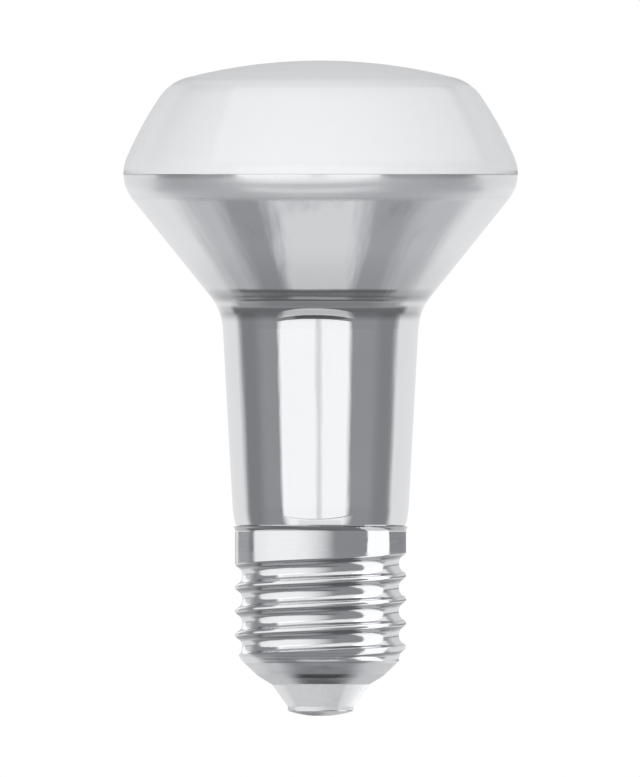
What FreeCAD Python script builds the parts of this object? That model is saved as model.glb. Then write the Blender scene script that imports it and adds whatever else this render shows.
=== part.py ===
"""Mirrored reflector lamp with a frosted dome and a 27 mm screw cap, in millimetres.

The lamp stands cap down. Its origin is the lowest point of the centre contact, on the axis, and +Z
runs from the cap to the dome. Every outline is drawn in the XZ plane, with X as the radius.
"""
import FreeCAD, Part
import Sketcher
import math
import os
from types import SimpleNamespace

# Driving sizes, each one written once, in millimetres, degrees or turns
SIZES = [
    # Blown glass bulb
    ("overall_height", 99.7, "lowest point of the contact to the top of the dome"),
    ("bulb_radius", 30.0, "largest radius, at the edge of the mirror"),
    ("dome_rise", 17.2, "from the largest radius up to the top of the dome"),
    ("rim_bend", 6.2, "bend where the reflector turns into the dome"),
    ("dome_radius", 81.3, "shallow crown of the dome"),
    ("dome_edge_radius", 20.3, "how far out the shallow crown reaches"),
    ("shoulder_bend", 7.25, "bend from the crown to the flank"),
    ("flank_bend", 54.3, "slow bulge of the flank above the rim"),
    ("reflector_slope", 38.7, "angle of the reflector cone from the axis"),
    ("throat_bend", 8.7, "hollow bend from the cone to the neck"),
    ("neck_taper", 3.1, "angle of the neck from the axis"),
    ("neck_foot_overhang", 0.4, "how far the foot of the neck stands out past the collar"),
    ("neck_foot_gap", 2.9, "from the cap's lip up to that place"),
    ("neck_foot_bend", 11.0, "slow round of the neck's foot"),
    ("neck_tuck_bend", 0.8, "hollow bend from the foot to the part inside the collar"),
    ("spigot_length", 3.4, "glass inside the collar, down from the cap's lip"),
    ("glass_wall", 0.8, "wall of the blown glass"),
    ("seat_clearance", 0.1, "gap that the cement fills between two seated pieces"),
    # Rolled screw shell of the cap
    ("sheet_wall", 0.25, "sheet metal of the cap"),
    ("shell_radius", 13.0, "outer radius of the thread's crests and of the plain collar"),
    ("lip_height", 28.8, "upper edge of the flared lip"),
    ("lip_flare", 1.13, "bend of the flared lip"),
    ("lip_sweep", 45.0, "turn of the flared lip, out from the collar"),
    ("thread_depth", 1.1, "from the crests down to the root of the thread"),
    ("thread_crest_bend", 0.5, "round of a crest"),
    ("thread_pitch", 3.629, "rise of one turn, seven turns to the inch"),
    ("thread_land", 0.12, "half width of the plain band left on a crest"),
    ("collar_length", 5.645, "from the lip down to the root of the last full turn, on the +X side"),
    ("runout_turns", 0.35, "part of a turn over which the groove fades into the collar"),
    ("runout_rise", 1.4, "how far out the fading groove climbs"),
    ("bowl_rim_bend", 4.6, "bend from the thread to the bowl"),
    ("bowl_bend", 5.0, "bend between the two slopes of the bowl"),
    ("bowl_centre_radius", 6.46, "centre of that bend, out from the axis"),
    ("bowl_centre_height", 10.03, "centre of that bend, up from the contact"),
    ("bowl_upper_slope", 43.5, "slope of the bowl below the thread"),
    ("bowl_lower_slope", 31.0, "slope of the bowl at its hole"),
    ("bowl_hole_radius", 7.5, "hole that the insulator fills"),
    # Insulator
    ("insulator_foot_radius", 4.98, "rim that holds the contact"),
    ("insulator_foot_height", 0.85, "underside of that rim"),
    ("insulator_rim_height", 0.55, "straight height of that rim"),
    ("insulator_flange_radius", 9.0, "flange behind the bowl"),
    ("insulator_flange_edge", 1.47, "straight edge of the flange"),
    # Centre contact
    ("contact_radius", 4.86, "disc of the contact"),
    ("contact_rim", 0.15, "straight edge of the disc"),
    ("contact_land_radius", 1.2, "flat at the lowest point"),
    ("contact_pin_radius", 1.5, "pin through the insulator"),
    ("contact_head_radius", 2.4, "clenched end of the pin"),
    ("contact_head_thickness", 0.5, "thickness of the clenched end"),
]

# Sketch references: a centre's position number, the origin point and the vertical axis
CENTRE = 3
ORIGIN = (-1, 1)
AXIS = -2


def bowl_level(radius, offset, slope="Sizes.bowl_lower_slope"):
    """The height, as an expression, of a line parallel to a slope of the bowl, at a radius."""
    across = f"({radius} - Sizes.bowl_centre_radius) * sin({slope} * 1 deg)"
    return f"(Sizes.bowl_centre_height + ({across} - ({offset})) / cos({slope} * 1 deg))"


# Sizes that follow from the driving ones, as expressions. The groove has as many full turns as it
# needs to start below the bowl's upper edge.
SPIGOT_RADIUS = "(Sizes.shell_radius - Sizes.sheet_wall - Sizes.seat_clearance)"
RIM_HEIGHT = "(Sizes.overall_height - Sizes.dome_rise)"
NECK_FOOT_RADIUS = "(Sizes.shell_radius + Sizes.neck_foot_overhang)"
NECK_FOOT_HEIGHT = "(Sizes.lip_height + Sizes.neck_foot_gap)"
NECK_END_HEIGHT = "(Sizes.lip_height - Sizes.spigot_length)"
LIP_FOOT_HEIGHT = "(Sizes.lip_height - Sizes.lip_flare * sin(Sizes.lip_sweep * 1 deg))"
THREAD_ROOT_RADIUS = "(Sizes.shell_radius - Sizes.thread_depth)"
ROOT_BEND = (
    "((Sizes.thread_depth^2 + Sizes.thread_pitch^2 / 4) / (2 * Sizes.thread_depth)"
    " - Sizes.thread_crest_bend)"
)
THREAD_TOP_HEIGHT = "(Sizes.lip_height - Sizes.collar_length)"
BOWL_EDGE_HEIGHT = bowl_level(THREAD_ROOT_RADIUS, "Sizes.bowl_bend", "Sizes.bowl_upper_slope")
THREAD_TURNS = f"ceil(({THREAD_TOP_HEIGHT} - {BOWL_EDGE_HEIGHT}) / Sizes.thread_pitch + 0.5)"
THREAD_FOOT_HEIGHT = f"({THREAD_TOP_HEIGHT} - {THREAD_TURNS} * Sizes.thread_pitch)"
INSULATOR_NECK_RADIUS = "(Sizes.bowl_hole_radius - Sizes.seat_clearance)"
SEAT_OFFSET = "(Sizes.bowl_bend - Sizes.sheet_wall - Sizes.seat_clearance)"
FLANGE_FOOT_HEIGHT = bowl_level("Sizes.insulator_flange_radius", SEAT_OFFSET)
INSULATOR_TOP_HEIGHT = f"({FLANGE_FOOT_HEIGHT} + Sizes.insulator_flange_edge)"
CONTACT_RIM_HEIGHT = "(Sizes.insulator_foot_height - Sizes.contact_rim)"
FOLLOWING = {
    "spigot_radius": SPIGOT_RADIUS,
    "rim_height": RIM_HEIGHT,
    "neck_foot_radius": NECK_FOOT_RADIUS,
    "neck_foot_height": NECK_FOOT_HEIGHT,
    "neck_end_height": NECK_END_HEIGHT,
    "lip_foot_height": LIP_FOOT_HEIGHT,
    "thread_root_radius": THREAD_ROOT_RADIUS,
    "thread_top_height": THREAD_TOP_HEIGHT,
    "thread_foot_height": THREAD_FOOT_HEIGHT,
    "insulator_neck_radius": INSULATOR_NECK_RADIUS,
    "insulator_outer_height": bowl_level(INSULATOR_NECK_RADIUS, "Sizes.bowl_bend"),
    "insulator_inner_height": bowl_level(INSULATOR_NECK_RADIUS, SEAT_OFFSET),
    "flange_foot_height": FLANGE_FOOT_HEIGHT,
    "insulator_top_height": INSULATOR_TOP_HEIGHT,
    "contact_rim_height": CONTACT_RIM_HEIGHT,
}


def vec(x, y, z=0.0):
    return FreeCAD.Vector(x, y, z)


def fill_sheet(doc):
    """Write one row for each driving size: its name, its value and what it is. Return all sizes."""
    sheet = doc.addObject("Spreadsheet::Sheet", "Sizes")
    for row, (alias, value, meaning) in enumerate(SIZES, start=1):
        sheet.set(f"A{row}", alias)
        sheet.set(f"B{row}", str(value))
        sheet.set(f"C{row}", meaning)
        sheet.setAlias(f"B{row}", alias)
    doc.recompute()
    driving = {alias: float(sheet.get(alias)) for alias, _, _ in SIZES}
    following = {name: float(sheet.evalExpression(text)) for name, text in FOLLOWING.items()}
    return SimpleNamespace(**driving, **following)


class Outline:
    """A closed chain of lines and arcs, walked in one direction, in a body's XZ plane."""

    def __init__(self, body, name):
        self.sketch = body.newObject("Sketcher::SketchObject", name)
        planes = [feature for feature in body.Origin.OriginFeatures if feature.Role == "XZ_Plane"]
        self.sketch.AttachmentSupport = [(planes[0], "")]
        self.sketch.MapMode = "FlatFace"
        self.ends = []

    def line(self, start, end):
        self.sketch.addGeometry(Part.LineSegment(start, end))
        self.ends.append((1, 2))
        return len(self.ends) - 1

    def arc(self, centre, start, end, clockwise=False):
        first, last = (end, start) if clockwise else (start, end)
        circle = Part.Circle(centre, vec(0, 0, 1), (start - centre).Length)
        angles = [math.atan2(point.y - centre.y, point.x - centre.x) for point in (first, last)]
        self.sketch.addGeometry(Part.ArcOfCircle(circle, angles[0], angles[1]))
        self.ends.append((2, 1) if clockwise else (1, 2))
        return len(self.ends) - 1

    def start(self, piece):
        return (piece, self.ends[piece][0])

    def end(self, piece):
        return (piece, self.ends[piece][1])

    def close(self, *smooth):
        """Join each piece to the next one, tangent where the earlier one is in smooth."""
        for piece in range(len(self.ends)):
            follower = (piece + 1) % len(self.ends)
            kind = "Tangent" if piece in smooth else "Coincident"
            self.fix(kind, *self.end(piece), *self.start(follower))

    def fix(self, kind, *references):
        self.sketch.addConstraint(Sketcher.Constraint(kind, *references))

    def size(self, name, kind, *references, value):
        """Add a driving dimension that follows an expression of the sizes."""
        number = float(self.sketch.evalExpression(value))
        if kind == "Angle":
            number = math.radians(number)
        index = self.sketch.addConstraint(Sketcher.Constraint(kind, *references, number))
        self.sketch.renameConstraint(index, name)
        self.sketch.setExpression(f"Constraints.{name}", value)

    def across(self, name, point, value):
        self.size(name, "DistanceX", *point, value=value)

    def up(self, name, point, value):
        self.size(name, "DistanceY", *point, value=value)


def polar(centre, radius, degrees):
    """The point at a distance from a centre, at an angle above the X direction."""
    angle = math.radians(degrees)
    return vec(centre.x + radius * math.cos(angle), centre.y + radius * math.sin(angle))


def inner_crossing(first, first_radius, second, second_radius):
    """The crossing of two circles that lies nearer to the axis."""
    gap = second - first
    along = (first_radius**2 - second_radius**2 + gap.Length**2) / (2 * gap.Length)
    across = math.sqrt(first_radius**2 - along**2)
    unit = gap / gap.Length
    foot = first + unit * along
    sides = [foot + vec(unit.y, -unit.x) * (across * side) for side in (1, -1)]
    return min(sides, key=lambda point: point.x)


def revolve(body, kind, name, outline):
    """Turn an outline once round the axis, as added or as cut material."""
    feature = body.newObject(kind, name)
    feature.Profile = outline.sketch
    feature.ReferenceAxis = (outline.sketch, ["V_Axis"])
    feature.Angle = 360.0
    return feature


def glass_outline(body, name, s, inset, inset_size):
    """The bulb's outline: its outer face, or the inner one a wall further in."""
    end_level = s.neck_end_height - inset

    # Centres of the bends, from the dome down to the neck's foot
    crown = vec(0, s.overall_height - s.dome_radius)
    crown_angle = math.degrees(math.acos(s.dome_edge_radius / s.dome_radius))
    shoulder = polar(crown, s.dome_radius - s.shoulder_bend, crown_angle)
    rim = vec(s.bulb_radius - s.rim_bend, s.rim_height)
    flank = inner_crossing(shoulder, s.flank_bend - s.shoulder_bend, rim, s.flank_bend - s.rim_bend)
    neck_foot = polar(vec(s.neck_foot_radius, s.neck_foot_height), inset, 180 - s.neck_taper)
    foot = polar(neck_foot, s.neck_foot_bend - inset, 180 - s.neck_taper)
    tuck_reach = s.neck_foot_bend + s.neck_tuck_bend
    tuck_across = s.spigot_radius + s.neck_tuck_bend - foot.x
    tuck = vec(foot.x + tuck_across, foot.y - math.sqrt(tuck_reach**2 - tuck_across**2))

    # The corner where the cone and the neck would meet, and the bend that rounds it
    cone_start = polar(rim, s.rim_bend - inset, -s.reflector_slope)
    cone_way = polar(vec(0, 0), 1, -90 - s.reflector_slope)
    neck_way = polar(vec(0, 0), 1, -90 - s.neck_taper)
    gap = neck_foot - cone_start
    reach = (gap.x * neck_way.y - gap.y * neck_way.x) / (cone_way.x * neck_way.y - cone_way.y * neck_way.x)
    corner = cone_start + cone_way * reach
    half_turn = math.radians(s.reflector_slope - s.neck_taper) / 2
    run = (s.throat_bend + inset) * math.tan(half_turn)
    neck_start = corner + neck_way * run
    throat = polar(neck_start, s.throat_bend + inset, -s.neck_taper)

    # Points where one bend runs into the next
    top = vec(0, s.overall_height - inset)
    crown_edge = polar(crown, s.dome_radius - inset, crown_angle)
    shoulder_edge = flank + (shoulder - flank).normalize() * (s.flank_bend - inset)
    flank_edge = flank + (rim - flank).normalize() * (s.flank_bend - inset)
    foot_edge = foot + (tuck - foot).normalize() * (s.neck_foot_bend - inset)
    tube_start = vec(s.spigot_radius - inset, tuck.y)
    tube_end = vec(s.spigot_radius - inset, end_level)
    outline = Outline(body, name)
    dome = outline.arc(crown, top, crown_edge, clockwise=True)
    bend = outline.arc(shoulder, crown_edge, shoulder_edge, clockwise=True)
    side = outline.arc(flank, shoulder_edge, flank_edge, clockwise=True)
    edge = outline.arc(rim, flank_edge, cone_start, clockwise=True)
    cone = outline.line(cone_start, corner - cone_way * run)
    hollow = outline.arc(throat, corner - cone_way * run, neck_start)
    neck = outline.line(neck_start, neck_foot)
    ankle = outline.arc(foot, neck_foot, foot_edge, clockwise=True)
    instep = outline.arc(tuck, foot_edge, tube_start)
    tube = outline.line(tube_start, tube_end)
    end = outline.line(tube_end, vec(0, end_level))
    axis = outline.line(vec(0, end_level), top)

    outline.close(dome, bend, side, edge, cone, hollow, neck, ankle, instep)
    outline.fix("PointOnObject", dome, CENTRE, AXIS)
    outline.fix("PointOnObject", *outline.start(dome), AXIS)
    outline.fix("PointOnObject", *outline.start(axis), AXIS)
    outline.fix("Vertical", tube)
    outline.fix("Horizontal", end)
    edge_share = f"(Sizes.dome_radius - {inset_size}) / Sizes.dome_radius"
    outline.up("height", outline.start(dome), f"Sizes.overall_height - {inset_size}")
    outline.size("dome_bend", "Radius", dome, value=f"Sizes.dome_radius - {inset_size}")
    outline.across("dome_edge", outline.end(dome), f"Sizes.dome_edge_radius * {edge_share}")
    outline.size("shoulder", "Radius", bend, value=f"Sizes.shoulder_bend - {inset_size}")
    outline.size("flank", "Radius", side, value=f"Sizes.flank_bend - {inset_size}")
    outline.size("rim", "Radius", edge, value=f"Sizes.rim_bend - {inset_size}")
    outline.across("rim_centre", (edge, CENTRE), "Sizes.bulb_radius - Sizes.rim_bend")
    outline.up("rim_level", (edge, CENTRE), RIM_HEIGHT)
    outline.size("cone_slope", "Angle", cone, value="-90 - Sizes.reflector_slope")
    outline.size("throat", "Radius", hollow, value=f"Sizes.throat_bend + {inset_size}")
    outline.size("neck_slope", "Angle", neck, value="-90 - Sizes.neck_taper")
    taper = "Sizes.neck_taper * 1 deg"
    outline.across("foot_radius", outline.end(neck), f"{NECK_FOOT_RADIUS} - {inset_size} * cos({taper})")
    outline.up("foot_level", outline.end(neck), f"{NECK_FOOT_HEIGHT} + {inset_size} * sin({taper})")
    outline.size("foot_bend", "Radius", ankle, value=f"Sizes.neck_foot_bend - {inset_size}")
    outline.size("tuck_bend", "Radius", instep, value=f"Sizes.neck_tuck_bend + {inset_size}")
    outline.across("spigot", outline.end(tube), f"{SPIGOT_RADIUS} - {inset_size}")
    outline.up("end_level", outline.end(tube), f"{NECK_END_HEIGHT} - {inset_size}")
    return outline


def build_glass(doc, s):
    """The bulb: one blown piece, from the crown of the dome to the open end of its neck."""
    body = doc.addObject("PartDesign::Body", "glass_bulb")
    outside = glass_outline(body, "glass_outside", s, 0.0, "0")
    revolve(body, "PartDesign::Revolution", "blown_form", outside)
    doc.recompute()
    inside = glass_outline(body, "glass_inside", s, s.glass_wall, "Sizes.glass_wall")
    revolve(body, "PartDesign::Groove", "blown_hollow", inside)
    doc.recompute()
    return [outside.sketch, inside.sketch]


def cap_outline(body, name, s, inset, inset_size, pierced):
    """The cap's outline without its thread: the outer face, or the inner one a wall further in."""
    bowl = vec(s.bowl_centre_radius, s.bowl_centre_height)
    bowl_bend = s.bowl_bend - inset
    lower = s.bowl_lower_slope - 90
    upper = s.bowl_upper_slope - 90
    lower_end = polar(bowl, bowl_bend, lower)
    upper_start = polar(bowl, bowl_bend, upper)
    rim_bend = s.bowl_rim_bend - inset
    seam = polar(bowl, s.bowl_bend - s.bowl_rim_bend, upper)
    climb = (s.shell_radius - s.bowl_rim_bend - seam.x) / math.cos(math.radians(s.bowl_upper_slope))
    rim = polar(seam, climb, s.bowl_upper_slope)
    shell = s.shell_radius - inset
    flare = vec(s.shell_radius + s.lip_flare, s.lip_foot_height)
    flare_bend = s.lip_flare + inset
    top = s.lip_height + inset
    lip = vec(flare.x - math.sqrt(flare_bend**2 - (top - flare.y) ** 2), top)
    slope = math.tan(math.radians(s.bowl_lower_slope))

    outline = Outline(body, name)
    hole = s.bowl_hole_radius if pierced else 0.0
    cone_start = vec(hole, lower_end.y - (lower_end.x - hole) * slope)
    floor = cone_start
    if pierced:
        floor = vec(0, -hole)
        mouth = outline.line(floor, vec(hole, -hole))
        barrel = outline.line(vec(hole, -hole), cone_start)
    cone = outline.line(cone_start, lower_end)
    bend = outline.arc(bowl, lower_end, upper_start)
    side = outline.line(upper_start, polar(rim, rim_bend, upper))
    edge = outline.arc(rim, polar(rim, rim_bend, upper), vec(shell, rim.y))
    wall = outline.line(vec(shell, rim.y), vec(shell, flare.y))
    curl = outline.arc(flare, vec(shell, flare.y), lip, clockwise=True)
    lid = outline.line(lip, vec(0, top))
    axis = outline.line(vec(0, top), floor)

    outline.close(cone, bend, side, edge, wall)
    outline.fix("Vertical", wall)
    outline.fix("Horizontal", lid)
    outline.fix("PointOnObject", *outline.start(axis), AXIS)
    outline.fix("PointOnObject", *outline.end(axis), AXIS)
    if pierced:
        outline.fix("Horizontal", mouth)
        outline.fix("Vertical", barrel)
        outline.across("hole", outline.start(barrel), "Sizes.bowl_hole_radius")
        outline.up("floor", outline.start(barrel), "-Sizes.bowl_hole_radius")
    outline.size("lower_slope", "Angle", cone, value="Sizes.bowl_lower_slope")
    outline.size("bowl_bend", "Radius", bend, value=f"Sizes.bowl_bend - {inset_size}")
    outline.across("bowl_across", (bend, CENTRE), "Sizes.bowl_centre_radius")
    outline.up("bowl_up", (bend, CENTRE), "Sizes.bowl_centre_height")
    outline.size("upper_slope", "Angle", side, value="Sizes.bowl_upper_slope")
    outline.size("rim_bend", "Radius", edge, value=f"Sizes.bowl_rim_bend - {inset_size}")
    outline.across("shell", outline.end(wall), f"Sizes.shell_radius - {inset_size}")
    outline.up("lip_foot", outline.end(wall), LIP_FOOT_HEIGHT)
    outline.size("flare", "Radius", curl, value=f"Sizes.lip_flare + {inset_size}")
    outline.up("lip", outline.end(curl), f"Sizes.lip_height + {inset_size}")
    return outline


def groove_section(body, name, s, inset, inset_size, level, level_size):
    """The round groove between two crests, where the thread passes the XZ plane on the +X side."""
    depth = s.thread_depth
    half = s.thread_pitch / 2
    reach = (depth**2 + half**2) / (2 * depth)
    root_bend = reach - s.thread_crest_bend + inset
    crest_bend = s.thread_crest_bend - inset
    turn = math.degrees(math.asin(half / reach))
    land = math.degrees(math.asin(s.thread_land / crest_bend))
    root = vec(s.thread_root_radius + reach - s.thread_crest_bend, level)
    above = vec(s.shell_radius - s.thread_crest_bend, level + half)
    below = vec(above.x, level - half)
    clear = s.shell_radius + s.thread_crest_bend
    upper = polar(above, crest_bend, -land)
    lower = polar(below, crest_bend, land)

    outline = Outline(body, name)
    over = outline.arc(above, upper, polar(above, crest_bend, -turn), clockwise=True)
    valley = outline.arc(root, polar(root, root_bend, 180 - turn), polar(root, root_bend, 180 + turn))
    under = outline.arc(below, polar(below, crest_bend, turn), lower, clockwise=True)
    floor = outline.line(lower, vec(clear, lower.y))
    back = outline.line(vec(clear, lower.y), vec(clear, upper.y))
    lid = outline.line(vec(clear, upper.y), upper)

    outline.close(over, valley)
    outline.fix("Horizontal", floor)
    outline.fix("Vertical", back)
    outline.fix("Horizontal", lid)
    outline.size("root_bend", "Radius", valley, value=f"{ROOT_BEND} + {inset_size}")
    outline.across("root", (valley, CENTRE), f"{THREAD_ROOT_RADIUS} + {ROOT_BEND}")
    outline.up("level", (valley, CENTRE), level_size)
    for piece, word in ((over, "upper"), (under, "lower")):
        outline.size(f"{word}_bend", "Radius", piece, value=f"Sizes.thread_crest_bend - {inset_size}")
        outline.across(f"{word}_crest", (piece, CENTRE), "Sizes.shell_radius - Sizes.thread_crest_bend")
    land_height = "(Sizes.thread_pitch / 2 - Sizes.thread_land)"
    outline.up("upper_land", outline.start(over), f"{level_size} + {land_height}")
    outline.up("lower_land", outline.end(under), f"{level_size} - {land_height}")
    outline.across("clear", outline.end(floor), "Sizes.shell_radius + Sizes.thread_crest_bend")
    return outline


def wind(body, name, outline, mode, **sizes):
    """Cut a groove's section along a right-handed helix about the axis."""
    feature = body.newObject("PartDesign::SubtractiveHelix", name)
    feature.Profile = outline.sketch
    feature.ReferenceAxis = (outline.sketch, ["V_Axis"])
    feature.Mode = mode
    feature.LeftHanded = False
    for property_name, value in sizes.items():
        feature.setExpression(property_name, value)
    return feature


def build_cap_face(doc, s, name, inset, inset_size, pierced):
    """A solid bounded by one face of the cap's sheet: revolved, then wound with the thread."""
    body = doc.addObject("PartDesign::Body", name)
    outline = cap_outline(body, f"{name}_outline", s, inset, inset_size, pierced)
    revolve(body, "PartDesign::Revolution", f"{name}_turned", outline)
    doc.recompute()
    groove = groove_section(
        body, f"{name}_groove", s, inset, inset_size, s.thread_foot_height, THREAD_FOOT_HEIGHT
    )
    pitch = "Sizes.thread_pitch"
    wind(body, f"{name}_thread", groove, "pitch-turns-angle", Pitch=pitch, Turns=THREAD_TURNS)
    doc.recompute()
    runout = groove_section(
        body, f"{name}_runout", s, inset, inset_size, s.thread_top_height, THREAD_TOP_HEIGHT
    )
    rise = {
        "Height": "Sizes.thread_pitch * Sizes.runout_turns",
        "Turns": "Sizes.runout_turns",
        "Growth": "Sizes.runout_rise / Sizes.runout_turns",
    }
    wind(body, f"{name}_fade", runout, "height-turns-growth", **rise)
    doc.recompute()
    return body, [outline.sketch, groove.sketch, runout.sketch]


def build_cap_shell(doc, s):
    """The screw shell: one drawn sheet with a rolled thread, a flared lip and a pierced bowl."""
    outside, outer_sketches = build_cap_face(doc, s, "cap_form", 0.0, "0", False)
    inside, inner_sketches = build_cap_face(doc, s, "cap_hollow", s.sheet_wall, "Sizes.sheet_wall", True)
    shell = doc.addObject("Part::Cut", "cap_shell")
    shell.Base = outside
    shell.Tool = inside
    doc.recompute()
    return outer_sketches + inner_sketches


def build_insulator(doc, s):
    """The insulator: a moulded cone that fills the bowl's hole, with a flange behind it."""
    body = doc.addObject("PartDesign::Body", "cap_insulator")
    bore = s.contact_pin_radius + s.seat_clearance
    outline = Outline(body, "insulator_outline")
    corners = [
        vec(bore, s.insulator_foot_height),
        vec(s.insulator_foot_radius, s.insulator_foot_height),
        vec(s.insulator_foot_radius, s.insulator_foot_height + s.insulator_rim_height),
        vec(s.insulator_neck_radius, s.insulator_outer_height),
        vec(s.insulator_neck_radius, s.insulator_inner_height),
        vec(s.insulator_flange_radius, s.flange_foot_height),
        vec(s.insulator_flange_radius, s.insulator_top_height),
        vec(bore, s.insulator_top_height),
    ]
    pieces = [outline.line(here, there) for here, there in zip(corners, corners[1:] + corners[:1])]
    underside, rim, cone, throat, seat, flange, top, pin_hole = pieces
    outline.close()
    for piece in (underside, top):
        outline.fix("Horizontal", piece)
    for piece in (rim, throat, flange, pin_hole):
        outline.fix("Vertical", piece)
    outline.across("bore", outline.start(underside), "Sizes.contact_pin_radius + Sizes.seat_clearance")
    outline.up("foot", outline.start(underside), "Sizes.insulator_foot_height")
    outline.across("rim_radius", outline.start(rim), "Sizes.insulator_foot_radius")
    outline.up("rim_top", outline.end(rim), "Sizes.insulator_foot_height + Sizes.insulator_rim_height")
    outline.across("neck", outline.end(cone), INSULATOR_NECK_RADIUS)
    outline.up("outer_edge", outline.end(cone), FOLLOWING["insulator_outer_height"])
    outline.up("inner_edge", outline.end(throat), FOLLOWING["insulator_inner_height"])
    outline.up("flange_foot", outline.end(seat), FLANGE_FOOT_HEIGHT)
    outline.across("flange_radius", outline.end(seat), "Sizes.insulator_flange_radius")
    outline.up("top", outline.start(top), INSULATOR_TOP_HEIGHT)
    revolve(body, "PartDesign::Revolution", "moulded_cone", outline)
    doc.recompute()
    return [outline.sketch]


def build_contact(doc, s):
    """The centre contact: a shallow domed disc on a pin that is clenched behind the insulator."""
    body = doc.addObject("PartDesign::Body", "centre_contact")
    land = s.contact_land_radius
    rim_level = s.contact_rim_height
    centre_level = (s.contact_radius**2 + rim_level**2 - land**2) / (2 * rim_level)
    head_foot = s.insulator_top_height
    head_top = head_foot + s.contact_head_thickness
    outline = Outline(body, "contact_outline")
    flat = outline.line(vec(0, 0), vec(land, 0))
    dome = outline.arc(vec(0, centre_level), vec(land, 0), vec(s.contact_radius, rim_level))
    corners = [
        vec(s.contact_radius, rim_level),
        vec(s.contact_radius, s.insulator_foot_height),
        vec(s.contact_pin_radius, s.insulator_foot_height),
        vec(s.contact_pin_radius, head_foot),
        vec(s.contact_head_radius, head_foot),
        vec(s.contact_head_radius, head_top),
        vec(0, head_top),
        vec(0, 0),
    ]
    pieces = [outline.line(here, there) for here, there in zip(corners, corners[1:])]
    rim, seat, pin, ledge, head, top, axis = pieces
    outline.close()
    for piece in (flat, seat, ledge, top):
        outline.fix("Horizontal", piece)
    for piece in (rim, pin, head):
        outline.fix("Vertical", piece)
    outline.fix("Coincident", *outline.start(flat), *ORIGIN)
    outline.fix("PointOnObject", dome, CENTRE, AXIS)
    outline.fix("PointOnObject", *outline.start(axis), AXIS)
    outline.across("land", outline.end(flat), "Sizes.contact_land_radius")
    outline.across("disc", outline.end(dome), "Sizes.contact_radius")
    outline.up("rim_level", outline.end(dome), CONTACT_RIM_HEIGHT)
    outline.up("seat_level", outline.end(rim), "Sizes.insulator_foot_height")
    outline.across("pin", outline.start(pin), "Sizes.contact_pin_radius")
    outline.up("head_foot", outline.end(pin), INSULATOR_TOP_HEIGHT)
    outline.across("head", outline.start(head), "Sizes.contact_head_radius")
    outline.up("head_top", outline.end(head), f"{INSULATOR_TOP_HEIGHT} + Sizes.contact_head_thickness")
    revolve(body, "PartDesign::Revolution", "clenched_disc", outline)
    doc.recompute()
    return [outline.sketch]


def check(doc, sketches, nodes):
    """Stop if a feature failed, an outline is loose or a piece isn't one valid solid."""
    for item in doc.Objects:
        if "Invalid" in item.State or "Error" in item.State:
            raise RuntimeError(f"{item.Name} failed: {item.State}")
    for sketch in sketches:
        if sketch.solve() != 0 or not sketch.FullyConstrained:
            raise RuntimeError(f"{sketch.Name} isn't held by its sizes")
    for node in nodes:
        shape = node.Shape
        if shape.isNull() or not shape.isValid() or len(shape.Solids) != 1:
            raise RuntimeError(f"{node.Label} isn't one valid solid")
        print(f"{node.Label}: {shape.Volume:.1f} mm3, {len(shape.Faces)} faces")


document = FreeCAD.newDocument("reflector_lamp")
values = fill_sheet(document)
drawn = build_glass(document, values)
drawn += build_cap_shell(document, values)
drawn += build_insulator(document, values)
drawn += build_contact(document, values)
document.recompute()
names = ("glass_bulb", "cap_shell", "cap_insulator", "centre_contact")
parts = [document.getObject(name) for name in names]
check(document, drawn, parts)
os.makedirs("parts", exist_ok=True)
for part in parts:
    part.Shape.exportStep(f"parts/{part.Label}.step")
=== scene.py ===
import bpy
import math
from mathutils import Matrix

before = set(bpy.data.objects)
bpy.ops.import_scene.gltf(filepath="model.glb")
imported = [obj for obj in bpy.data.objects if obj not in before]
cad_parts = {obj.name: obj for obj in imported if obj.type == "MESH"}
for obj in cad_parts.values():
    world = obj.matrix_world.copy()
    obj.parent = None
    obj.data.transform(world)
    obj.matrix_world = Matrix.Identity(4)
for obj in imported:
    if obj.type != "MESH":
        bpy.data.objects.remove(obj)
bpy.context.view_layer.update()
scene = bpy.context.scene
MM = 0.001

# The glass bulb is blown in one piece, frosted white above its widest line and mirror-coated below
# it, both on the inside, so that clear, glossy glass covers them. The coating is thin and hazy next
# to its sharp edge. Darker rings of painted shade in the throat stand in for what the bend reflects.
MIRROR_EDGE = 82.4 * MM
MIRROR_EDGE_SOFTNESS = 0.03 * MM
HAZE_FOOT = 77.78 * MM
HAZE_FULL_FROM = 79.1 * MM
HAZE_FULL_TO = 81.08 * MM
HAZE_AT_EDGE = 0.4
HAZE_ROUGHNESS = 0.34
HAZE_WHITENESS = 0.22
THROAT_FOOT = 59.8 * MM
THROAT_TOP = 72.0 * MM
THROAT_PAINTED_SHADES = (
    # height in millimetres, painted shade on the coating
    (59.8, 1.0), (61.3, 0.5), (61.9, 0.58), (62.6, 0.82), (63.7, 0.44), (64.3, 0.56), (65.2, 0.84),
    (72.0, 1.0),
)
BEND_FOOT = 63.0 * MM
BEND_TOP = 65.1 * MM
BEND_DEPTH = 0.16 * MM
NECK_TOP = 60.0 * MM
NECK_UNEVENNESS = 0.3
CONE_FOOT = 68.0 * MM
CREASE_DEPTH = 0.06 * MM
CREASE_RUNS_PER_METRE = 14.0
WAVE_DEPTH = 0.2 * MM
MIRROR_ROUGHNESS = 0.03
FROST_ROUGHNESS = 0.5
MIRROR_COLOUR = (0.895, 0.9, 0.91, 1.0)
MIRROR_SHADE = (0.865, 0.872, 0.885, 1.0)
FROST_COLOUR = (0.92, 0.925, 0.92, 1.0)
FROST_SHADE = (0.895, 0.9, 0.9, 1.0)


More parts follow.
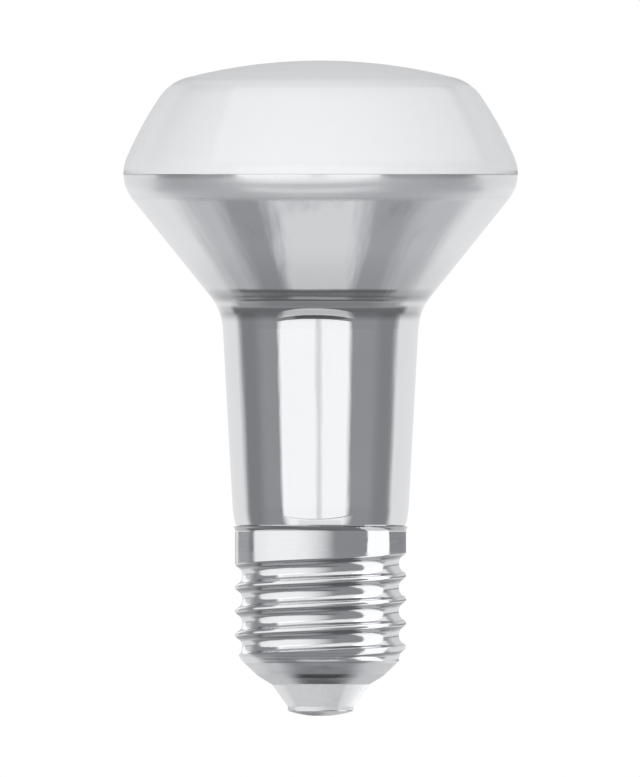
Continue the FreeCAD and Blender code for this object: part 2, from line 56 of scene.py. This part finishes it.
def add_node(tree, kind, inputs=(), **settings):
    """Add a node to a tree, and set each named input to a value or link it to an output."""
    node = tree.nodes.new("ShaderNode" + kind)
    for name, value in settings.items():
        setattr(node, name, value)
    for name, value in dict(inputs).items():
        if isinstance(value, bpy.types.NodeSocket):
            tree.links.new(value, node.inputs[name])
        else:
            node.inputs[name].default_value = value
    return node


def calculate(tree, operation, first, second=0.0):
    return add_node(tree, "Math", {0: first, 1: second}, operation=operation).outputs[0]


def fade(tree, value, low, high, start=0.0, end=1.0):
    """Turn smoothly from start, where the value is low, to end, where it is high."""
    inputs = {"Value": value, "From Min": low, "From Max": high, "To Min": start, "To Max": end}
    return add_node(tree, "MapRange", inputs, interpolation_type="SMOOTHSTEP").outputs[0]


def mix_values(tree, share, first, second):
    inputs = {"Factor": share, "A": first, "B": second}
    return add_node(tree, "Mix", inputs, data_type="FLOAT").outputs[0]


def mix_colours(tree, share, first, second, blend_type="MIX"):
    """Mix two colours. A Mix node takes them at its inputs 6 and 7 and gives one at its output 2."""
    inputs = {"Factor": share, 6: first, 7: second}
    return add_node(tree, "Mix", inputs, data_type="RGBA", blend_type=blend_type).outputs[2]


def new_effect(name, inputs, outputs):
    """A shader node group with named inputs and outputs, and its two end nodes."""
    group = bpy.data.node_groups.new(name, "ShaderNodeTree")
    for socket_name, kind in inputs:
        group.interface.new_socket(socket_name, in_out="INPUT", socket_type="NodeSocket" + kind)
    for socket_name, kind in outputs:
        group.interface.new_socket(socket_name, in_out="OUTPUT", socket_type="NodeSocket" + kind)
    return group, group.nodes.new("NodeGroupInput").outputs, group.nodes.new("NodeGroupOutput").inputs


def use_effect(tree, group, inputs):
    return add_node(tree, "Group", inputs, node_tree=group).outputs


# Unevenness that the finishes share, each at its own scale, and longer along an axis where it streaks
unevenness, given, result = new_effect(
    "unevenness",
    [("Place", "Vector"), ("Stretch", "Vector"), ("Scale", "Float"), ("Detail", "Float")],
    [("Height", "Float")],
)
stretched = add_node(unevenness, "Mapping", {"Vector": given["Place"], "Scale": given["Stretch"]})
streaks = add_node(unevenness, "TexNoise", {
    "Vector": stretched.outputs[0], "Scale": given["Scale"], "Detail": given["Detail"], "Roughness": 0.4,
})
unevenness.links.new(streaks.outputs["Fac"], result["Height"])


def new_finish(name):
    """A material, with its tree, its shader and the place on the object in metres."""
    material = bpy.data.materials.new(name)
    material.use_nodes = True
    tree = material.node_tree
    place = tree.nodes.new("ShaderNodeTexCoord").outputs["Object"]
    return material, tree, tree.nodes["Principled BSDF"], place


def drive(tree, shader, inputs):
    for name, value in inputs.items():
        tree.links.new(value, shader.inputs[name])


bulb_finish, tree, shader, place = new_finish("mirrored_and_frosted_glass")
height = add_node(tree, "SeparateXYZ", {0: place}).outputs["Z"]
frosted = fade(tree, height, MIRROR_EDGE - MIRROR_EDGE_SOFTNESS, MIRROR_EDGE + MIRROR_EDGE_SOFTNESS)
mirrored = calculate(tree, "SUBTRACT", 1.0, frosted)
long_streaks = use_effect(tree, unevenness, {
    "Place": place, "Stretch": (1.0, 1.0, 0.4), "Scale": 95.0, "Detail": 1.0,
})["Height"]
flat_place = add_node(tree, "Mapping", {"Vector": place, "Scale": (1.0, 1.0, 0.0)}).outputs[0]
round_axis = add_node(tree, "VectorMath", {0: flat_place}, operation="NORMALIZE").outputs[0]
runs = calculate(tree, "MULTIPLY", height, CREASE_RUNS_PER_METRE)
along_axis = add_node(tree, "CombineXYZ", {"Z": runs}).outputs[0]
round_and_along = add_node(
    tree, "VectorMath", {0: round_axis, 1: along_axis}, operation="ADD"
).outputs[0]
meridian_streaks = use_effect(tree, unevenness, {
    "Place": round_and_along, "Stretch": (1.0, 1.0, 1.0), "Scale": 9.0, "Detail": 2.0,
})["Height"]
fine_streaks = use_effect(tree, unevenness, {
    "Place": place, "Stretch": (1.0, 1.0, 0.06), "Scale": 1400.0, "Detail": 2.0,
})["Height"]
mottle = use_effect(tree, unevenness, {
    "Place": place, "Stretch": (1.0, 1.0, 1.0), "Scale": 420.0, "Detail": 3.0,
})["Height"]
mirror_colour = mix_colours(tree, fine_streaks, MIRROR_SHADE, MIRROR_COLOUR)
frost_colour = mix_colours(tree, mottle, FROST_SHADE, FROST_COLOUR)
haze = calculate(
    tree, "MULTIPLY", fade(tree, height, HAZE_FOOT, HAZE_FULL_FROM),
    fade(tree, height, HAZE_FULL_TO, MIRROR_EDGE, 1.0, HAZE_AT_EDGE),
)
throat_position = add_node(tree, "MapRange", {
    "Value": height, "From Min": THROAT_FOOT, "From Max": THROAT_TOP,
})
# Painted shade: darker rings on the mirror coating in the throat, in place of the bend's reflections.
painted_throat_shade = tree.nodes.new("ShaderNodeValToRGB")
tree.links.new(throat_position.outputs[0], painted_throat_shade.inputs["Fac"])
painted_throat_shade.color_ramp.interpolation = "EASE"
for stop, (stop_height, painted_shade) in enumerate(THROAT_PAINTED_SHADES):
    if stop > 1:
        painted_throat_shade.color_ramp.elements.new(1.0)
    element = painted_throat_shade.color_ramp.elements[stop]
    element.position = (stop_height * MM - THROAT_FOOT) / (THROAT_TOP - THROAT_FOOT)
    element.color = (painted_shade, painted_shade, painted_shade, 1.0)
mirror_with_painted_shade = mix_colours(tree, 1.0, mirror_colour, painted_throat_shade.outputs["Color"], "MULTIPLY")
coat_roughness = fade(tree, haze, 0.0, 1.0, MIRROR_ROUGHNESS, HAZE_ROUGHNESS)
coat_density = fade(tree, haze, 0.0, 1.0, 1.0, 1.0 - HAZE_WHITENESS)
unevenly_drawn = calculate(
    tree, "MULTIPLY", mirrored, fade(tree, height, NECK_TOP, CONE_FOOT, NECK_UNEVENNESS, 1.0)
)
bend = add_node(tree, "Bump", {
    "Strength": 1.0, "Distance": BEND_DEPTH, "Height": fade(tree, height, BEND_FOOT, BEND_TOP),
})
crease_height = calculate(tree, "MULTIPLY", meridian_streaks, unevenly_drawn)
creases = add_node(tree, "Bump", {
    "Strength": 1.0, "Distance": CREASE_DEPTH, "Height": crease_height, "Normal": bend.outputs[0],
})
wave_height = calculate(tree, "MULTIPLY", long_streaks, unevenly_drawn)
waves = add_node(tree, "Bump", {
    "Strength": 1.0, "Distance": WAVE_DEPTH, "Height": wave_height, "Normal": creases.outputs[0],
})
drive(tree, shader, {
    "Base Color": mix_colours(tree, frosted, mirror_with_painted_shade, frost_colour),
    "Metallic": calculate(tree, "MULTIPLY", mirrored, coat_density),
    "Roughness": mix_values(tree, frosted, coat_roughness, FROST_ROUGHNESS),
    "Normal": waves.outputs[0],
})
shader.inputs["Coat Weight"].default_value = 1.0
shader.inputs["Coat Roughness"].default_value = 0.03
shader.inputs["Coat IOR"].default_value = 1.5

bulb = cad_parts["glass_bulb"]
bulb.data.materials.clear()
bulb.data.materials.append(bulb_finish)

# The cap shell is pressed from bright sheet, and the rolls that form its thread leave fine rings
# round it. The bowl below stays satin. The thread's lower flanks and the lip's edge get painted
# shade, which stands in for the dark surroundings that they reflect.
SHEET_COLOUR = (0.86, 0.865, 0.875, 1.0)
SHEET_SHADE = (0.80, 0.806, 0.82, 1.0)
BLACK = (0.0, 0.0, 0.0, 1.0)
BOWL_TOP = 6.9 * MM
LIP_HEIGHT = 28.2 * MM
LIP_PAINTED_SHADE = 0.58
THREAD_TOP = 25.2 * MM
THREAD_FOOT = 9.0 * MM
COLLAR_ROUGHNESS = 0.08
THREAD_ROUGHNESS = 0.14
BOWL_ROUGHNESS = 0.21
FLANK_PAINTED_SHADE = 0.45
DARKEST_FACING = -0.75
CLEAR_FACING = -0.3
BLEND = 0.3 * MM
RING_DEPTH = 0.004 * MM
DENT_DEPTH = 0.05 * MM

shell_finish, tree, shader, place = new_finish("rolled_bright_sheet")
height = add_node(tree, "SeparateXYZ", {0: place}).outputs["Z"]
rings = use_effect(tree, unevenness, {
    "Place": place, "Stretch": (0.12, 0.12, 1.0), "Scale": 2600.0, "Detail": 3.0,
})["Height"]
dents = use_effect(tree, unevenness, {
    "Place": place, "Stretch": (1.0, 1.0, 1.6), "Scale": 230.0, "Detail": 1.0,
})["Height"]
bowl_and_thread = fade(
    tree, height, BOWL_TOP - BLEND, BOWL_TOP + BLEND, BOWL_ROUGHNESS, THREAD_ROUGHNESS
)
collar_share = COLLAR_ROUGHNESS / THREAD_ROUGHNESS
smoother_collar = fade(tree, height, THREAD_TOP - 0.5 * MM, THREAD_TOP, 1.0, collar_share)
sheet_roughness = calculate(tree, "MULTIPLY", bowl_and_thread, smoother_collar)
normal = tree.nodes.new("ShaderNodeTexCoord").outputs["Normal"]
facing_up = add_node(tree, "SeparateXYZ", {0: normal}).outputs["Z"]
# Painted shade: the thread's flanks that face down are darker.
painted_flank_shade = fade(tree, facing_up, DARKEST_FACING, CLEAR_FACING, FLANK_PAINTED_SHADE, 1.0)
in_thread = calculate(
    tree, "MULTIPLY", fade(tree, height, THREAD_FOOT - BLEND, THREAD_FOOT + BLEND),
    fade(tree, height, THREAD_TOP, THREAD_TOP + 0.4 * MM, 1.0, 0.0),
)
painted_thread_shade = mix_values(tree, in_thread, 1.0, painted_flank_shade)
# Painted shade: a dark line along the lip's edge.
painted_lip_shade = fade(tree, height, LIP_HEIGHT - 0.2 * MM, LIP_HEIGHT + 0.1 * MM, 1.0, LIP_PAINTED_SHADE)
painted_shade = calculate(tree, "MULTIPLY", painted_lip_shade, painted_thread_shade)
ring_roughness = fade(tree, rings, 0.3, 0.75, -0.02, 0.03)
rolled_rings = add_node(tree, "Bump", {"Strength": 1.0, "Distance": RING_DEPTH, "Height": rings})
slight_dents = add_node(tree, "Bump", {
    "Strength": 1.0, "Distance": DENT_DEPTH, "Height": dents, "Normal": rolled_rings.outputs[0],
})
drive(tree, shader, {
    "Base Color": mix_colours(tree, painted_shade, BLACK, mix_colours(tree, rings, SHEET_SHADE, SHEET_COLOUR)),
    "Roughness": calculate(tree, "ADD", sheet_roughness, ring_roughness),
    "Normal": slight_dents.outputs[0],
})
shader.inputs["Metallic"].default_value = 1.0

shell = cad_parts["cap_shell"]
shell.data.materials.clear()
shell.data.materials.append(shell_finish)

# The insulator is a glossy light grey moulding that fills the hole of the bowl and carries the
# contact. Its surface is a little cloudy.
MOULDING_COLOUR = (0.80, 0.805, 0.81, 1.0)
MOULDING_SHADE = (0.74, 0.745, 0.752, 1.0)
SKIN_DEPTH = 0.006 * MM

moulding_finish, tree, shader, place = new_finish("grey_moulding")
clouds = use_effect(tree, unevenness, {
    "Place": place, "Stretch": (1.0, 1.0, 1.0), "Scale": 600.0, "Detail": 3.0,
})["Height"]
skin = add_node(tree, "Bump", {"Strength": 1.0, "Distance": SKIN_DEPTH, "Height": clouds})
drive(tree, shader, {
    "Base Color": mix_colours(tree, clouds, MOULDING_SHADE, MOULDING_COLOUR),
    "Roughness": fade(tree, clouds, 0.3, 0.7, 0.26, 0.34),
    "Normal": skin.outputs[0],
})
shader.inputs["Coat Weight"].default_value = 1.0
shader.inputs["Coat Roughness"].default_value = 0.1
shader.inputs["Coat IOR"].default_value = 2.4

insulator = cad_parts["cap_insulator"]
insulator.data.materials.clear()
insulator.data.materials.append(moulding_finish)

# The centre contact is a shallow plated disc with fine rings round its middle. Its pin passes
# through the insulator and is clenched behind it.
PLATE_COLOUR = (0.86, 0.865, 0.87, 1.0)
PLATE_SHADE = (0.76, 0.765, 0.775, 1.0)
LATHE_DEPTH = 0.006 * MM

contact_finish, tree, shader, place = new_finish("turned_plated_disc")
flat_place = add_node(tree, "Mapping", {"Vector": place, "Scale": (1.0, 1.0, 0.0)}).outputs[0]
out_from_axis = add_node(tree, "VectorMath", {0: flat_place}, operation="LENGTH").outputs["Value"]
lathe_rings = add_node(
    tree, "TexNoise", {"W": out_from_axis, "Scale": 6000.0, "Detail": 2.0}, noise_dimensions="1D"
).outputs["Fac"]
turned = add_node(tree, "Bump", {"Strength": 1.0, "Distance": LATHE_DEPTH, "Height": lathe_rings})
drive(tree, shader, {
    "Base Color": mix_colours(tree, lathe_rings, PLATE_SHADE, PLATE_COLOUR),
    "Roughness": fade(tree, lathe_rings, 0.3, 0.7, 0.16, 0.3),
    "Normal": turned.outputs[0],
})
shader.inputs["Metallic"].default_value = 1.0

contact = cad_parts["centre_contact"]
contact.data.materials.clear()
contact.data.materials.append(contact_finish)

# The floor is a plain pale disc just under the contact. Mirrors show the studio's own floor in its
# place, so it is hidden from them.
FLOOR_RADIUS = 4.5
FLOOR_GAP = 0.02 * MM
FLOOR_COLOUR = (0.86, 0.86, 0.86, 1.0)
FLOOR_GLOW = 0.3

bpy.ops.mesh.primitive_circle_add(vertices=128, radius=FLOOR_RADIUS, fill_type="NGON")
floor = bpy.context.object
floor.name = "studio_floor"
floor.location.z = -FLOOR_GAP
floor_finish, tree, shader, place = new_finish("floor_paper")
grain = use_effect(tree, unevenness, {
    "Place": place, "Stretch": (1.0, 1.0, 1.0), "Scale": 300.0, "Detail": 4.0,
})["Height"]
drive(tree, shader, {"Roughness": fade(tree, grain, 0.3, 0.7, 0.8, 0.95)})
shader.inputs["Base Color"].default_value = FLOOR_COLOUR
shader.inputs["Emission Color"].default_value = (1.0, 1.0, 1.0, 1.0)
shader.inputs["Emission Strength"].default_value = FLOOR_GLOW
floor.data.materials.append(floor_finish)
floor.visible_glossy = False

# The studio is white to the camera and a soft even fill to everything matt. In mirrors it is a
# grey room with a pale floor and a wide overhead window. The windows and shadows of that room stay
# where they are from every side. Each is placed by how a mirror faces that shows it in the photo's
# view: across from -Y towards +X, and up from the horizon, in degrees.
FILL = 0.56
ROOM = 0.295
ROOM_COLOUR = (0.93, 0.945, 1.0, 1.0)
LIGHT_COLOUR = (1.0, 1.0, 1.0, 1.0)
WAY_OF_PHOTO = (0.0, 1.0, 0.0)
REFLECTIONS = (
    # left, right, bottom and top edge, softness across and up, level
    (-95, 95, -62, -1.6, 3.0, 0.8, 0.80),
    (-53, 50, -18, 0, 4.0, 4.0, 0.30),
    (-95, 95, -95, -46, 2.5, 2.5, 0.62),
    (-50, 52, -44, -15, 8.0, 5.0, 0.53),
    (-33, 0, -44, -15, 5.5, 5.0, 0.325),
    (0, 33, -44, -15, 6.0, 5.0, 0.375),
    (-16, 15, -44, -15, 4.5, 3.5, 0.71),
    (-48, 40, -44.6, -41.4, 7.0, 1.4, 0.19),
    (-48, 40, -37.7, -33.2, 7.0, 0.9, 0.20),
    (-95, 95, -33, -20, 5.0, 2.0, 0.86),
    (-54, 50, -33, -27, 6.0, 2.0, 0.41),
    (-36, 34, -33, -27, 9.0, 2.0, 0.29),
    (-59, 56, -27, -19, 3.0, 2.5, 0.28),
    (-53, 50, -20, -5, 5.0, 3.0, 0.30),
    (-15, 14, -17.4, -13.4, 2.0, 0.7, 0.14),
    (-95, -56, -0.8, 5, 3.0, 0.8, 0.40),
    (-56, -40, -20, 5, 5.0, 3.0, 0.24),
    (36, 50, -20, 5, 5.0, 3.0, 0.25),
    (-26, 30, -61, -46.5, 11.0, 4.5, 0.02),
    (-60, 5, -88, -72, 5.0, 3.0, 0.25),
    (-95, -62, 4, 56, 6.0, 2.5, 0.72),
    (60, 95, 4, 56, 6.0, 2.5, 0.72),
    (-30, 55, 17, 50, 3.0, 2.5, 0.95),
    (-34, -29, 17, 50, 1.5, 1.5, 1.1),
    (-90, 90, 54, 70, 3.0, 3.0, 0.58),
    (-95, 95, 70, 95, 3.0, 3.0, 0.62),
)

WINDOW_INPUTS = (
    "Room", "Across", "Up", "Left", "Right", "Bottom", "Top", "Across Softness", "Up Softness", "Level",
)
window, given, result = new_effect(
    "soft_window", [(name, "Float") for name in WINDOW_INPUTS], [("Room", "Float")]
)
inside = 1.0
for value, edge, side in (
    ("Across", "Left", 1.0), ("Across", "Right", -1.0), ("Up", "Bottom", 1.0), ("Up", "Top", -1.0),
):
    past_edge = calculate(window, "SUBTRACT", given[value], given[edge])
    distance_in = calculate(window, "MULTIPLY", past_edge, side)
    softness = given[value + " Softness"]
    share = fade(window, distance_in, calculate(window, "MULTIPLY", softness, -1.0), softness)
    inside = calculate(window, "MULTIPLY", share, inside)
window.links.new(mix_values(window, inside, given["Room"], given["Level"]), result["Room"])

world = bpy.data.worlds.new("studio")
world.use_nodes = True
world.cycles.sampling_method = "NONE"
scene.world = world
tree = world.node_tree
way = tree.nodes.new("ShaderNodeTexCoord").outputs["Generated"]
halfway = add_node(tree, "VectorMath", {0: way, 1: WAY_OF_PHOTO}, operation="SUBTRACT").outputs[0]
facing = add_node(tree, "VectorMath", {0: halfway}, operation="NORMALIZE").outputs[0]
parts = add_node(tree, "SeparateXYZ", {0: facing}).outputs
across = calculate(tree, "DEGREES", calculate(
    tree, "ARCTAN2", parts["X"], calculate(tree, "MULTIPLY", parts["Y"], -1.0),
))
up = calculate(tree, "DEGREES", calculate(tree, "ARCSINE", parts["Z"]))
room = ROOM
for values in REFLECTIONS:
    inputs = dict(zip(WINDOW_INPUTS, (room, across, up, *values)))
    room = use_effect(tree, window, inputs)["Room"]
rays = tree.nodes.new("ShaderNodeLightPath").outputs
studio = mix_values(tree, rays["Is Glossy Ray"], FILL, room)
level = mix_values(tree, rays["Is Camera Ray"], studio, 1.0)
background = tree.nodes["Background"]
tree.links.new(level, background.inputs["Strength"])
tree.links.new(mix_colours(tree, level, ROOM_COLOUR, LIGHT_COLOUR), background.inputs["Color"])

# Soft panels stand round the lamp, one of them low and close in front of it. Each lights only the
# glass, the cap, its metal or its moulding, because their bands differ in the photo. Azimuths run
# from the camera's side towards +X.
PANEL_DISTANCE = 0.6
LOW_PANEL_DISTANCE = 0.15


def lit_group(name, pieces):
    group = bpy.data.collections.new(name)
    for piece in pieces:
        group.objects.link(piece)
    return group


def stand_panel(
    name, azimuths, heights, radiance, receivers, edges=(0.02, 0.02), dip=None, distance=PANEL_DISTANCE,
):
    """An upright panel between two azimuths and two heights, with soft sides and maybe a dark line."""
    first, last = (math.radians(angle) for angle in azimuths)
    middle = (first + last) / 2
    light = bpy.data.lights.new(name, "AREA")
    light.shape = "RECTANGLE"
    light.size = 2 * distance * math.tan((last - first) / 2)
    light.size_y = heights[1] - heights[0]
    light.energy = radiance * math.pi * light.size * light.size_y
    light.use_nodes = True
    tree = light.node_tree
    place = tree.nodes.new("ShaderNodeNewGeometry").outputs["Parametric"]
    along = add_node(tree, "SeparateXYZ", {0: place}).outputs["X"]
    last_side = fade(tree, along, 1.0 - edges[1], 1.0, 1.0, 0.0)
    strength = calculate(tree, "MULTIPLY", fade(tree, along, 0.0, edges[0]), last_side)
    if dip is not None:
        dip_middle, dip_width, dip_level = dip
        away = calculate(tree, "ABSOLUTE", calculate(tree, "SUBTRACT", along, dip_middle))
        dip_shade = fade(tree, away, 0.0, dip_width, dip_level, 1.0)
        strength = calculate(tree, "MULTIPLY", strength, dip_shade)
    tree.links.new(strength, tree.nodes["Emission"].inputs["Strength"])
    panel = bpy.data.objects.new(name, light)
    scene.collection.objects.link(panel)
    panel.location = (
        distance * math.sin(middle), -distance * math.cos(middle), (heights[0] + heights[1]) / 2
    )
    panel.rotation_euler = (math.pi / 2, 0.0, middle)
    panel.light_linking.receiver_collection = receivers


glass_lit = lit_group("lit_as_glass", [bulb])
cap_lit = lit_group("lit_as_cap", [shell, insulator, contact])
sheet_lit = lit_group("lit_as_sheet", [shell, contact])
moulding_lit = lit_group("lit_as_moulding", [insulator])
stand_panel(
    "front", (-54, 40), (-0.238, 0.36), 0.72, glass_lit, edges=(0.1, 0.13), dip=(0.54, 0.05, 0.62)
)
stand_panel(
    "front_low", (-55, 44), (-0.1, -0.035), 0.68, glass_lit, edges=(0.2, 0.22),
    distance=LOW_PANEL_DISTANCE,
)
stand_panel("cap_left", (-106, 22), (-0.35, 0.45), 0.74, cap_lit, edges=(0.14, 0.5))
stand_panel("cap_right", (66, 106), (-0.9, 1.1), 0.95, sheet_lit)
stand_panel("cap_back", (195, 212), (0.0, 0.4), 0.4, sheet_lit)
stand_panel("moulding_right", (62, 176), (-0.9, 0.2), 0.62, moulding_lit, edges=(0.02, 0.3))

# One broad soft light stands above the camera's side, for the modelling of the frosted dome and
# the shadow on the floor.
KEY_PLACE = (-0.15, -0.75, 0.75)
KEY_SIZE = 0.9
KEY_RADIANCE = 0.82
light = bpy.data.lights.new("key", "AREA")
light.shape = "SQUARE"
light.size = KEY_SIZE
light.energy = KEY_RADIANCE * math.pi * KEY_SIZE**2
key = bpy.data.objects.new("key", light)
scene.collection.objects.link(key)
key.location = KEY_PLACE
key_tilt = math.atan2(math.hypot(KEY_PLACE[0], KEY_PLACE[1]), KEY_PLACE[2])
key.rotation_euler = (key_tilt, 0.0, math.atan2(KEY_PLACE[0], -KEY_PLACE[1]))
key.visible_glossy = False

# The camera looks straight at the lamp's side, with no perspective, as in a catalogue picture.
PIXELS_PER_METRE = 6573.0
PICTURE_HEIGHT = 777
PICTURE_WIDTH = 640
CONTACT_ROW = 715.8
AXIS_COLUMN = 320.6
CAMERA_DISTANCE = 0.4
camera_data = bpy.data.cameras.new("camera")
camera_data.type = "ORTHO"
camera_data.ortho_scale = PICTURE_HEIGHT / PIXELS_PER_METRE
camera = bpy.data.objects.new("camera", camera_data)
scene.collection.objects.link(camera)
camera.location = (
    (PICTURE_WIDTH / 2 - AXIS_COLUMN) / PIXELS_PER_METRE,
    -CAMERA_DISTANCE,
    (CONTACT_ROW - PICTURE_HEIGHT / 2) / PIXELS_PER_METRE,
)
camera.rotation_euler = (math.pi / 2, 0.0, 0.0)
scene.camera = camera
scene.view_settings.view_transform = "Standard"
